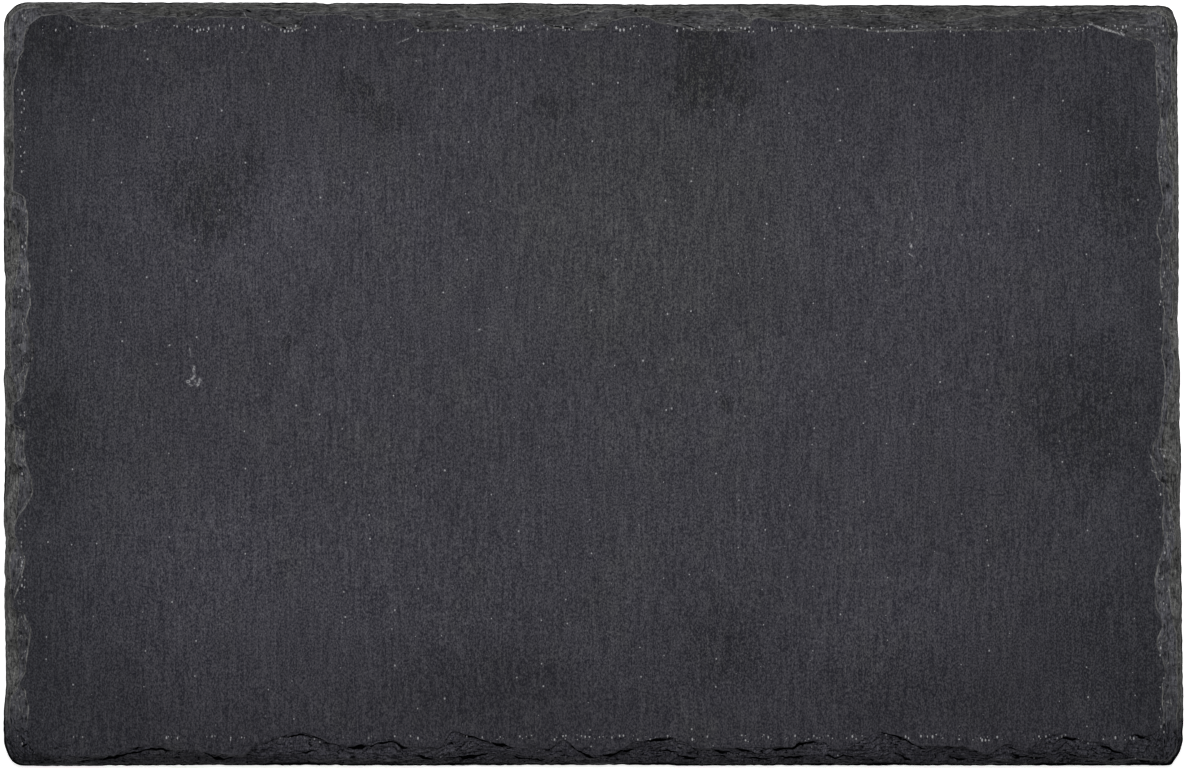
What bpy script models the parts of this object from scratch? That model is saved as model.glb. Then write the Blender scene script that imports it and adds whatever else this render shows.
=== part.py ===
"""A serving slate: one riven slab whose edge is dressed all round by flaking.

Metres, +Z up. The origin is the middle of the underside. +X runs along the length and +Y towards
the back edge. The top face is the smaller one: above a steep broken wall, the dressed edge climbs
to it in three ledges.
"""

import math
import random

import bmesh
import bpy

MM = 0.001

# Driving dimensions of the slab
SLAB_LENGTH = 311.0 * MM
SLAB_WIDTH = 201.4 * MM
SLAB_THICKNESS = 6.0 * MM

# The foot of the edge: an upright wall, then a steep slope that takes up a share of the way in to
# the low ledge
WALL_HEIGHT = 2.1 * MM
SLOPE_SHARE = 0.55
SLOPE_TOP = 3.4 * MM

# Three ledges climb the edge. Each has a riser, and the two lower ones a height and the least
# distance from the outline. The top one ends at the face.
LOW_LEDGE_TOP = 3.9 * MM
LOW_LEDGE_RISE = 0.32 * MM
LOW_LEDGE_INSET = 0.9 * MM
MIDDLE_LEDGE_TOP = 4.95 * MM
MIDDLE_LEDGE_RISE = 0.45 * MM
MIDDLE_LEDGE_INSET = 1.9 * MM
TOP_LEDGE_RISE = 0.46 * MM
LEAST_RISE_SHARE = 0.2
RISER_RUN = 0.12 * MM
TREAD_RUN = 0.35 * MM
LEDGE_HEIGHT_WANDER = 0.14 * MM
LEDGE_LINE_WANDER = 0.45 * MM

# Flake scars bite into the ledges as round-ended arcs, each leaning a little to one end
SCAR_ROUNDNESS = 0.6
SCAR_LEAN = 0.38
LOW_SCARS = 95
LOW_SCAR_HALF_LENGTH = (3.0 * MM, 8.0 * MM)
LOW_SCAR_DEPTH = (1.1 * MM, 2.3 * MM)
MIDDLE_SCARS = 34
MIDDLE_SCAR_HALF_LENGTH = (4.0 * MM, 10.0 * MM)
MIDDLE_SCAR_DEPTH = (2.4 * MM, 4.4 * MM)

# The riven face: very slightly cleft, never above the full thickness
FACE_HOLLOW = 0.22 * MM
FACE_WAVE_LENGTH = 74.0 * MM
FACE_INSET = 14.5 * MM

# How finely the shape is cut
STATIONS = 400
FACE_COLUMNS = 30
FACE_ROWS = 20

# The outline follows a guide rectangle with wide round corners, which carries the edge inwards
GUIDE_RADIUS = 12.5 * MM
CORNER_X = SLAB_LENGTH / 2 - GUIDE_RADIUS
CORNER_Y = SLAB_WIDTH / 2 - GUIDE_RADIUS
STRAIGHT_X = 2 * CORNER_X
STRAIGHT_Y = 2 * CORNER_Y
QUARTER_TURN = 0.5 * math.pi * GUIDE_RADIUS
PERIMETER = 2 * (STRAIGHT_X + STRAIGHT_Y) + 4 * QUARTER_TURN
SEED = 311

# Each side: where it starts, the way it runs, its straight length, and the corner at its end: how
# far it is knocked off along this side and along the next one (millimetres), and how sharply it bends
SIDES = {
    "front": ((-CORNER_X, -CORNER_Y), (1.0, 0.0), STRAIGHT_X, (3.0, 5.3, 30)),
    "right": ((CORNER_X, -CORNER_Y), (0.0, 1.0), STRAIGHT_Y, (5.3, 2.9, 18)),
    "back": ((CORNER_X, CORNER_Y), (-1.0, 0.0), STRAIGHT_X, (3.9, 3.9, 18)),
    "left": ((-CORNER_X, CORNER_Y), (0.0, -1.0), STRAIGHT_Y, (4.3, 3.1, 18)),
}

# How far the outline stands inside the full size: (place along the side, distance), millimetres
OUTLINE_SET_BACK = {
    "front": ((-145, 0.0), (-125, 0.03), (-100, 0.18), (-50, 0.06), (10, 0.24), (30, 0.02), (62, 0.10),
              (140, 0.08)),
    "right": ((-94, 0.1), (-83, 0.0), (-75, 0.22), (-57, 0.38), (-41, 0.60), (-31, 0.94), (-20, 0.58),
              (-9, 0.94), (1, 0.87), (17, 1.45), (28, 1.24), (48, 1.24), (85, 1.60)),
    "back": ((141, 0.76), (112, 0.96), (102, 0.78), (89, 0.86), (81, 0.70), (65, 0.80), (49, 0.46),
             (18, 0.60), (-6, 0.42), (-22, 0.20), (-30, 0.42), (-67, 0.17), (-70, 0.50), (-73, 0.12),
             (-117, 0.08), (-143, 0.0)),
    "left": ((85, 0.05), (33, 0.10), (27, 0.40), (6, 0.42), (1, 0.05), (-4, 0.42), (-20, 0.32),
             (-36, 0.03), (-41, 0.50), (-49, 0.20), (-52, 0.45), (-55, 0.20), (-67, 0.47), (-78, 0.66),
             (-88, 0.03)),
}

# The line where the top ledge meets the face: (place along the side, distance inside the full size),
# millimetres. It runs in scallops, with the face standing out in points between them.
FACE_LINE = {
    "front": ((-142.5, 2.9), (-127, 3.2), (-119.5, 5.4), (-114, 5.6), (-110, 4.5), (-92.5, 3.2),
              (-87.5, 6.4), (-77.5, 9.2), (-65.5, 5.6), (-53, 7.4), (-48.5, 5.3), (-40.5, 5.0), (-37, 9.2),
              (-24.5, 6.4), (-20.5, 5.0), (-12, 4.8), (-8, 7.1), (-3, 4.2), (2, 3.2), (7, 4.4),
              (10.5, 6.6), (20, 7.9), (29, 4.8), (52.5, 5.4), (54, 6.9), (59.5, 6.9), (64.5, 4.5),
              (75.5, 9.2), (81, 8.1), (85.5, 5.6), (96, 5.4), (104, 3.5), (108.5, 6.1), (113, 4.5),
              (120, 8.7), (132.5, 6.6), (139, 4.2), (141.5, 8.5)),
    "right": ((-88, 5.9), (-80, 6.2), (-75, 5.4), (-67.5, 7.5), (-63.5, 6.0), (-57, 8.0), (-51, 8.0),
              (-42.5, 6.0), (-26.5, 5.9), (-24.5, 7.7), (-20.5, 8.8), (-16.5, 8.7), (-13.5, 7.0),
              (-9.5, 6.2), (1, 5.4), (9, 6.2), (19.5, 5.6), (26, 6.6), (35.5, 6.4), (41.5, 7.7),
              (47, 5.9), (55, 7.0), (61.5, 7.5), (70, 6.7), (76, 7.5), (85.5, 7.9)),
    "back": ((143.5, 10.2), (136, 8.3), (129, 6.0), (126.5, 7.2), (119.5, 7.0), (117, 7.9), (113, 7.5),
             (107, 8.1), (103, 7.6), (96, 7.9), (92.5, 7.5), (87.5, 8.0), (75.5, 8.1), (64.5, 7.0),
             (57.5, 7.1), (54, 5.5), (46.5, 5.2), (45, 4.5), (42, 4.7), (40.5, 8.1), (29.5, 7.9),
             (17.5, 5.9), (14, 4.3), (9, 4.2), (5, 5.2), (3, 7.5), (-3.5, 7.9), (-10, 7.2), (-16, 4.6),
             (-20, 5.4), (-21.5, 7.0), (-27, 7.4), (-29, 5.9), (-32.5, 5.9), (-34.5, 7.9), (-44.5, 7.9),
             (-46.5, 7.0), (-49, 4.5), (-56, 5.4), (-62.5, 4.8), (-64, 3.6), (-75.5, 3.6), (-77, 7.4),
             (-80, 7.6), (-87.5, 5.6), (-90.5, 4.5), (-99.5, 4.3), (-106, 4.8), (-108, 6.0), (-110, 4.1),
             (-114, 4.1), (-116.5, 5.4), (-126, 7.4), (-132, 6.7), (-136, 5.1), (-138, 3.8), (-142.5, 3.7)),
    "left": ((88, 5.8), (85, 4.4), (77.5, 3.1), (67, 3.1), (61.5, 3.3), (51, 2.9), (49, 6.2), (44.5, 7.0),
             (38, 6.8), (21, 7.6), (16.5, 6.5), (13, 7.3), (9.5, 8.7), (0, 6.2), (-3.5, 5.3), (-5.5, 3.2),
             (-10.5, 3.0), (-12, 6.2), (-17, 6.0), (-28, 8.2), (-38, 3.3), (-47, 6.1), (-51, 5.2),
             (-58.5, 3.0), (-60.5, 6.0), (-64.5, 7.7), (-75, 6.5), (-79, 4.7), (-80.5, 6.4), (-85, 7.3),
             (-89, 6.9)),
}

# Lower flake scars that stop part way up the edge: (place, half length, inset), millimetres
MIDDLE_SCARS_BY_HAND = {
    "front": ((-127, 7, 2.9), (-94, 8, 3.2), (-28, 14, 4.0), (13, 12, 4.7), (33, 11, 4.6), (52, 8, 3.2),
              (76, 10, 4.4), (93, 11, 4.8), (120, 10, 3.8)),
    "right": ((-52, 9, 3.6), (-17, 8, 5.4), (64, 10, 3.0)),
    "back": ((92, 12, 4.4), (48, 10, 4.0), (-14, 12, 4.2), (-70, 9, 2.6), (-112, 11, 3.9)),
    "left": ((70, 12, 2.6), (34, 9, 4.4), (-30, 10, 4.2), (-70, 12, 3.8)),
}


def side_starts():
    """Distance round the guide at which each side starts."""
    starts = {}
    distance = 0.0
    for name, (_, _, straight, _) in SIDES.items():
        starts[name] = distance
        distance += straight + QUARTER_TURN
    return starts


SIDE_STARTS = side_starts()


def distance_of(side, place):
    """Distance round the guide of a place given in millimetres from the middle of a side."""
    start, direction, _, _ = SIDES[side]
    axis = 0 if direction[0] else 1
    along = (place * MM - start[axis]) * direction[axis]
    return (SIDE_STARTS[side] + along) % PERIMETER


def corner_reach(turn, corner):
    """How far a corner stands outside the guide's round corner, at an angle of turn round it."""
    first = corner[0] * MM
    second = corner[1] * MM
    sharpness = corner[2]
    across_cut = first * math.cos(turn) + second * math.sin(turn)
    nearness = (
        math.cos(turn) / GUIDE_RADIUS,
        math.sin(turn) / GUIDE_RADIUS,
        across_cut / (GUIDE_RADIUS * (first + second) - first * second),
    )
    total = sum(max(near, 0.0) ** sharpness for near in nearness)
    return total ** (-1 / sharpness) - GUIDE_RADIUS


def guide_at(distance):
    """Point on the guide, outward direction there, and the corner's reach beyond the guide."""
    for name, (start, direction, straight, corner) in SIDES.items():
        along = distance - SIDE_STARTS[name]
        if along < straight + QUARTER_TURN:
            break
    run = min(along, straight)
    turn = max(along - straight, 0.0) / GUIDE_RADIUS
    side_normal = (direction[1], -direction[0])
    outward = (side_normal[0] * math.cos(turn) + direction[0] * math.sin(turn),
               side_normal[1] * math.cos(turn) + direction[1] * math.sin(turn))
    point = (start[0] + direction[0] * run + outward[0] * GUIDE_RADIUS,
             start[1] + direction[1] * run + outward[1] * GUIDE_RADIUS)
    reach = corner_reach(turn, corner) if turn > 0.0 else 0.0
    return point, outward, reach


def gap_between(first, second):
    """Shortest signed distance from one place round the slab to another."""
    return (first - second + PERIMETER / 2) % PERIMETER - PERIMETER / 2


def knots_of(table):
    """A table of places and distances as (distance round the slab, distance) in order."""
    knots = []
    for side, places in table.items():
        knots.extend((distance_of(side, place), value * MM) for place, value in places)
    return sorted(knots)


def line_at(distance, knots):
    """Value of a line of knots at a place, eased from knot to knot."""
    before = max((knot for knot in knots if knot[0] <= distance), default=knots[-1])
    after = min((knot for knot in knots if knot[0] > distance), default=knots[0])
    span = (after[0] - before[0]) % PERIMETER
    share = ((distance - before[0]) % PERIMETER) / span
    eased = share * share * (3 - 2 * share)
    return before[1] + (after[1] - before[1]) * eased


def scars_by_hand(table):
    """Scars from a table, as (distance round the slab, half length, inset) in metres."""
    return [(distance_of(side, place), half_length * MM, inset * MM)
            for side, scars in table.items()
            for place, half_length, inset in scars]


def scattered_scars(generator, count, half_lengths, insets):
    """Small scars spread round the slab."""
    return [(generator.uniform(0, PERIMETER), generator.uniform(*half_lengths), generator.uniform(*insets))
            for _ in range(count)]


def ledge_inset(distance, least, scars):
    """Inset of a ledge: the deepest of the scars that cross this place."""
    inset = least
    for centre, half_length, depth in scars:
        share = gap_between(distance, centre) / half_length
        if abs(share) < 1.0:
            lean = SCAR_LEAN * math.sin(centre / MM)
            leaned = share + lean * (1 - share * share)
            inset = max(inset, least + (depth - least) * (1 - leaned * leaned) ** SCAR_ROUNDNESS)
    return inset


def waves(generator, count, shortest, longest):
    """Waves that close round the slab, for a wander that never jumps."""
    return [(round(PERIMETER / generator.uniform(shortest, longest)), generator.uniform(0, math.tau))
            for _ in range(count)]


def wander(distance, wave_set):
    """Sum of the waves at a place, between -1 and 1."""
    angle = math.tau * distance / PERIMETER
    return sum(math.sin(cycles * angle + phase) for cycles, phase in wave_set) / len(wave_set)


def face_height(x, y):
    """Height of the riven face: long shallow waves that lie a little below the full thickness."""
    along = math.tau * x / FACE_WAVE_LENGTH
    across = math.tau * y / FACE_WAVE_LENGTH
    swell = (math.sin(0.8 * along + 0.5 * across) + math.sin(0.3 * along - 1.1 * across + 1.0)
             + math.sin(1.7 * across + 2.0)) / 3
    return SLAB_THICKNESS - FACE_HOLLOW * (0.5 - 0.5 * swell)


class DressedEdge:
    """The flaked edge: for each place round the slab, its profile from the foot to the face."""

    def __init__(self):
        generator = random.Random(SEED)
        self.outline_knots = knots_of(OUTLINE_SET_BACK)
        self.face_knots = knots_of(FACE_LINE)
        self.low_scars = scattered_scars(generator, LOW_SCARS, LOW_SCAR_HALF_LENGTH, LOW_SCAR_DEPTH)
        self.middle_scars = scars_by_hand(MIDDLE_SCARS_BY_HAND) + scattered_scars(
            generator, MIDDLE_SCARS, MIDDLE_SCAR_HALF_LENGTH, MIDDLE_SCAR_DEPTH)
        self.height_waves = [waves(generator, 5, 20 * MM, 90 * MM) for _ in range(2)]
        self.line_waves = [waves(generator, 6, 6 * MM, 22 * MM) for _ in range(2)]
        self.rise_waves = [waves(generator, 5, 9 * MM, 45 * MM) for _ in range(3)]

    def outline_shift(self, distance):
        """How far the outline stands outside the guide."""
        _, _, reach = guide_at(distance)
        return reach - line_at(distance, self.outline_knots)

    def insets(self, distance):
        """Insets of the low, middle and top ledge, each clear of the one outside it."""
        low, middle = (LEDGE_LINE_WANDER * wander(distance, line) for line in self.line_waves)
        low = 0.4 * low + ledge_inset(distance, LOW_LEDGE_INSET, self.low_scars)
        middle += ledge_inset(distance, MIDDLE_LEDGE_INSET, self.middle_scars)
        top = line_at(distance, self.face_knots) + self.outline_shift(distance)
        middle = min(middle, top - RISER_RUN - TREAD_RUN)
        low = min(low, middle - RISER_RUN - TREAD_RUN)
        return low, middle, top

    def rises(self, distance):
        """Risers of the three ledges: each one fades and grows again round the slab."""
        shares = [min(max(0.55 + 0.9 * wander(distance, rise), LEAST_RISE_SHARE), 1.0)
                  for rise in self.rise_waves]
        return LOW_LEDGE_RISE * shares[0], MIDDLE_LEDGE_RISE * shares[1], TOP_LEDGE_RISE * shares[2]

    def profile(self, distance):
        """The edge's section as (inset, height) from the underside up to the top ledge's brow."""
        low, middle, top = self.insets(distance)
        low_rise, middle_rise, top_rise = self.rises(distance)
        low_lift, middle_lift = (LEDGE_HEIGHT_WANDER * wander(distance, height)
                                 for height in self.height_waves)
        low_top = LOW_LEDGE_TOP + low_lift
        middle_top = MIDDLE_LEDGE_TOP + middle_lift
        brow = face_height(*self.place(distance, top + RISER_RUN))
        return (
            (0.0, 0.0),
            (0.0, WALL_HEIGHT),
            (SLOPE_SHARE * low, SLOPE_TOP),
            (low, low_top - low_rise),
            (low + RISER_RUN, low_top),
            (middle, middle_top - middle_rise),
            (middle + RISER_RUN, middle_top),
            (top, brow - top_rise),
            (top + RISER_RUN, brow),
        )

    def place(self, distance, inset):
        """Point of the plan at an inset from the outline."""
        point, outward, _ = guide_at(distance)
        shift = self.outline_shift(distance) - inset
        return point[0] + outward[0] * shift, point[1] + outward[1] * shift


def new_ring(mesh, edges):
    """Extrude a ring of edges and return the new ring's vertices and edges."""
    made = bmesh.ops.extrude_edge_only(mesh, edges=edges)["geom"]
    verts = [item for item in made if isinstance(item, bmesh.types.BMVert)]
    ring = set(verts)
    ring_edges = [item for item in made
                  if isinstance(item, bmesh.types.BMEdge) and item.verts[0] in ring and item.verts[1] in ring]
    return verts, ring_edges


def add_face(mesh, arris_edges):
    """Fill the top inside the arris: a grid over most of it, joined to the arris by a strip."""
    grid = bmesh.ops.create_grid(mesh, x_segments=FACE_COLUMNS, y_segments=FACE_ROWS, size=1.0)["verts"]
    for vert in grid:
        x = vert.co.x * (SLAB_LENGTH / 2 - FACE_INSET)
        y = vert.co.y * (SLAB_WIDTH / 2 - FACE_INSET)
        vert.co = (x, y, face_height(x, y))
    grid_rim = {side for vert in grid for side in vert.link_edges if side.is_boundary}
    bmesh.ops.bridge_loops(mesh, edges=arris_edges + list(grid_rim))


def model_slab():
    """Build the slab's mesh: rings up the dressed edge, then the riven face, then the underside."""
    edge = DressedEdge()
    distances = [PERIMETER * number / STATIONS for number in range(STATIONS)]
    profiles = [edge.profile(distance) for distance in distances]
    mesh = bmesh.new()
    station_layer = mesh.verts.layers.int.new("station")
    verts = bmesh.ops.create_circle(mesh, segments=STATIONS, radius=SLAB_WIDTH)["verts"]
    for number, vert in enumerate(verts):
        vert[station_layer] = number
    edges = list(mesh.edges)
    underside_edges = list(edges)
    for level in range(len(profiles[0])):
        if level:
            verts, edges = new_ring(mesh, edges)
        for vert in verts:
            number = vert[station_layer]
            inset, height = profiles[number][level]
            vert.co = (*edge.place(distances[number], inset), height)
    add_face(mesh, edges)
    bmesh.ops.contextual_create(mesh, geom=underside_edges)
    bmesh.ops.recalc_face_normals(mesh, faces=list(mesh.faces))
    return mesh


def centre_on_origin(mesh):
    """Move the slab so that the middle of its underside is the origin."""
    across = [vert.co.x for vert in mesh.verts]
    deep = [vert.co.y for vert in mesh.verts]
    middle = ((min(across) + max(across)) / 2, (min(deep) + max(deep)) / 2, 0.0)
    bmesh.ops.translate(mesh, verts=list(mesh.verts), vec=[-value for value in middle])


def slate_material():
    """Dark blue-grey slate, matt and unpolished."""
    material = bpy.data.materials.new("slate")
    material.use_nodes = True
    shader = material.node_tree.nodes["Principled BSDF"]
    shader.inputs["Base Color"].default_value = (0.047, 0.047, 0.054, 1.0)
    shader.inputs["Roughness"].default_value = 0.7
    shader.inputs["Metallic"].default_value = 0.0
    return material


def main():
    """Clear the scene and add the slab."""
    for item in list(bpy.data.objects):
        bpy.data.objects.remove(item)
    mesh = model_slab()
    centre_on_origin(mesh)
    data = bpy.data.meshes.new("slate_slab")
    mesh.to_mesh(data)
    mesh.free()
    data.materials.append(slate_material())
    slab = bpy.data.objects.new("slate_slab", data)
    bpy.context.scene.collection.objects.link(slab)


main()
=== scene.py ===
# %% [markdown]
# # A slate slab
#
# Slate splits into thin plates along its cleavage. A maker splits a plate about as thick as a pencil,
# turns it face up and knocks small flakes off all round its edge. The face stays dark and riven, and
# the edge becomes a band of broken stone. This lesson builds that plate round a fixed frame: a plain
# solid of the same slab, which says how large it is and where it lies. Every size is in metres.

# %% Load the fixed frame
import math
import random

import bmesh
import bpy
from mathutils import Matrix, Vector, noise


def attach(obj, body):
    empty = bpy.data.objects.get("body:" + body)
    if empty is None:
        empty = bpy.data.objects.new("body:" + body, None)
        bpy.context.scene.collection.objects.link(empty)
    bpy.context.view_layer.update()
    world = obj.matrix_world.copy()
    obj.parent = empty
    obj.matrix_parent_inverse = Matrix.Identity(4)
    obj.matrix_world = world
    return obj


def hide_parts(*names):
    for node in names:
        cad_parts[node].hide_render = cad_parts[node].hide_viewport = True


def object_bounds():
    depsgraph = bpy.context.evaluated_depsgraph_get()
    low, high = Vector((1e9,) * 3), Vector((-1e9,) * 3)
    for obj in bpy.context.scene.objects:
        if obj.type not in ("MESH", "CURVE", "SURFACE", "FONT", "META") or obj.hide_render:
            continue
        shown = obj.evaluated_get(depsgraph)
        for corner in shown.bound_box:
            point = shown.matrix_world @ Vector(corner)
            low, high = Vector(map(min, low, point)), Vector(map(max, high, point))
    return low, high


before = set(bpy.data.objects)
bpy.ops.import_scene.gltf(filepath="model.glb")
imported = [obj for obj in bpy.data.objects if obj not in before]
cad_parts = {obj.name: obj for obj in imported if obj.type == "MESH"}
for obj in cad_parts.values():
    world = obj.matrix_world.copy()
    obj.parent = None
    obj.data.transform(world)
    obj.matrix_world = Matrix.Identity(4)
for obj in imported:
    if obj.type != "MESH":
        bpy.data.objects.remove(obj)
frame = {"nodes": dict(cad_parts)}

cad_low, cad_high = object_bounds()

MM = 0.001
slab_size = cad_high - cad_low
print("frame:", ", ".join(frame["nodes"]), [round(side / MM, 1) for side in slab_size], "mm")

# %% [markdown]
# ## The plan of the slab
#
# Seen from above the slab is nearly a rectangle: the right side leans out towards the front, three
# corners are worn round and one is struck off straight. The outline could be drawn point by point, but
# then nothing could be carried inwards from it. Here it follows a guide rectangle with wide round
# corners. A place on the slab's edge is a distance round the guide, and a step inwards is a step along
# the guide's own normal, so that the rings of the edge can never cross at a corner.

# %% The guide rectangle
SLAB_LENGTH = 311.0 * MM
SLAB_WIDTH = 201.4 * MM
SLAB_THICKNESS = 6.0 * MM
GUIDE_RADIUS = 12.5 * MM
CORNER_X = SLAB_LENGTH / 2 - GUIDE_RADIUS
CORNER_Y = SLAB_WIDTH / 2 - GUIDE_RADIUS
STRAIGHT_X = 2 * CORNER_X
STRAIGHT_Y = 2 * CORNER_Y
QUARTER_TURN = 0.5 * math.pi * GUIDE_RADIUS
PERIMETER = 2 * (STRAIGHT_X + STRAIGHT_Y) + 4 * QUARTER_TURN

# Each side: where it starts, the way it runs, its straight length, and the corner at its end: how
# far it is knocked off along this side and along the next one (millimetres), and how sharply it bends
SIDES = {
    "front": ((-CORNER_X, -CORNER_Y), (1.0, 0.0), STRAIGHT_X, (3.0, 5.3, 30)),
    "right": ((CORNER_X, -CORNER_Y), (0.0, 1.0), STRAIGHT_Y, (5.3, 2.9, 18)),
    "back": ((CORNER_X, CORNER_Y), (-1.0, 0.0), STRAIGHT_X, (3.9, 3.9, 18)),
    "left": ((-CORNER_X, CORNER_Y), (0.0, -1.0), STRAIGHT_Y, (4.3, 3.1, 18)),
}
SIDE_STARTS = {}
for side_number, side_name in enumerate(SIDES):
    before = list(SIDES)[:side_number]
    SIDE_STARTS[side_name] = sum(SIDES[name][2] + QUARTER_TURN for name in before)


def distance_of(side, place):
    """Distance round the guide of a place given in millimetres from the middle of a side."""
    start, direction, _, _ = SIDES[side]
    axis = 0 if direction[0] else 1
    along = (place * MM - start[axis]) * direction[axis]
    return (SIDE_STARTS[side] + along) % PERIMETER


def gap_between(first, second):
    """Shortest signed distance from one place round the slab to another."""
    return (first - second + PERIMETER / 2) % PERIMETER - PERIMETER / 2


print("round the guide:", round(PERIMETER / MM), "mm")

# %% [markdown]
# A corner is the meeting of three lines: its two sides and the cut that knocks it off. Seen from the
# middle of the guide's round corner, the outline is as far away as the nearest of the three. A soft
# minimum of the three distances rounds the two angles a little, as wear does.

# %% Corners and outline


def corner_reach(turn, corner):
    """How far a corner stands outside the guide's round corner, at an angle of turn round it."""
    first = corner[0] * MM
    second = corner[1] * MM
    sharpness = corner[2]
    across_cut = first * math.cos(turn) + second * math.sin(turn)
    nearness = (
        math.cos(turn) / GUIDE_RADIUS,
        math.sin(turn) / GUIDE_RADIUS,
        across_cut / (GUIDE_RADIUS * (first + second) - first * second),
    )
    total = sum(max(near, 0.0) ** sharpness for near in nearness)
    return total ** (-1 / sharpness) - GUIDE_RADIUS


def guide_at(distance):
    """Point on the guide, outward direction there, and the corner's reach beyond the guide."""
    for name, (start, direction, straight, corner) in SIDES.items():
        along = distance - SIDE_STARTS[name]
        if along < straight + QUARTER_TURN:
            break
    run = min(along, straight)
    turn = max(along - straight, 0.0) / GUIDE_RADIUS
    side_normal = (direction[1], -direction[0])
    outward = (side_normal[0] * math.cos(turn) + direction[0] * math.sin(turn),
               side_normal[1] * math.cos(turn) + direction[1] * math.sin(turn))
    point = (start[0] + direction[0] * run + outward[0] * GUIDE_RADIUS,
             start[1] + direction[1] * run + outward[1] * GUIDE_RADIUS)
    reach = corner_reach(turn, corner) if turn > 0.0 else 0.0
    return point, outward, reach


# How far the outline stands inside the full size: (place along the side, distance), millimetres
OUTLINE_SET_BACK = {
    "front": ((-145, 0.0), (-125, 0.03), (-100, 0.18), (-50, 0.06), (10, 0.24), (30, 0.02), (62, 0.10),
              (140, 0.08)),
    "right": ((-94, 0.1), (-83, 0.0), (-75, 0.22), (-57, 0.38), (-41, 0.60), (-31, 0.94), (-20, 0.58),
              (-9, 0.94), (1, 0.87), (17, 1.45), (28, 1.24), (48, 1.24), (85, 1.60)),
    "back": ((141, 0.76), (112, 0.96), (102, 0.78), (89, 0.86), (81, 0.70), (65, 0.80), (49, 0.46),
             (18, 0.60), (-6, 0.42), (-22, 0.20), (-30, 0.42), (-67, 0.17), (-70, 0.50), (-73, 0.12),
             (-117, 0.08), (-143, 0.0)),
    "left": ((85, 0.05), (33, 0.10), (27, 0.40), (6, 0.42), (1, 0.05), (-4, 0.42), (-20, 0.32),
             (-36, 0.03), (-41, 0.50), (-49, 0.20), (-52, 0.45), (-55, 0.20), (-67, 0.47), (-78, 0.66),
             (-88, 0.03)),
}


def knots_of(table):
    """A table of places and distances as (distance round the slab, distance) in order."""
    knots = []
    for side, places in table.items():
        knots.extend((distance_of(side, place), value * MM) for place, value in places)
    return sorted(knots)


def line_at(distance, knots):
    """Value of a line of knots at a place, eased from knot to knot."""
    before = max((knot for knot in knots if knot[0] <= distance), default=knots[-1])
    after = min((knot for knot in knots if knot[0] > distance), default=knots[0])
    span = (after[0] - before[0]) % PERIMETER
    share = ((distance - before[0]) % PERIMETER) / span
    eased = share * share * (3 - 2 * share)
    return before[1] + (after[1] - before[1]) * eased


outline_knots = knots_of(OUTLINE_SET_BACK)


def outline_shift(distance):
    """How far the outline stands outside the guide."""
    _, _, reach = guide_at(distance)
    return reach - line_at(distance, outline_knots)


print("outline:", len(outline_knots), "knots and", len(SIDES), "corners")
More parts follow.
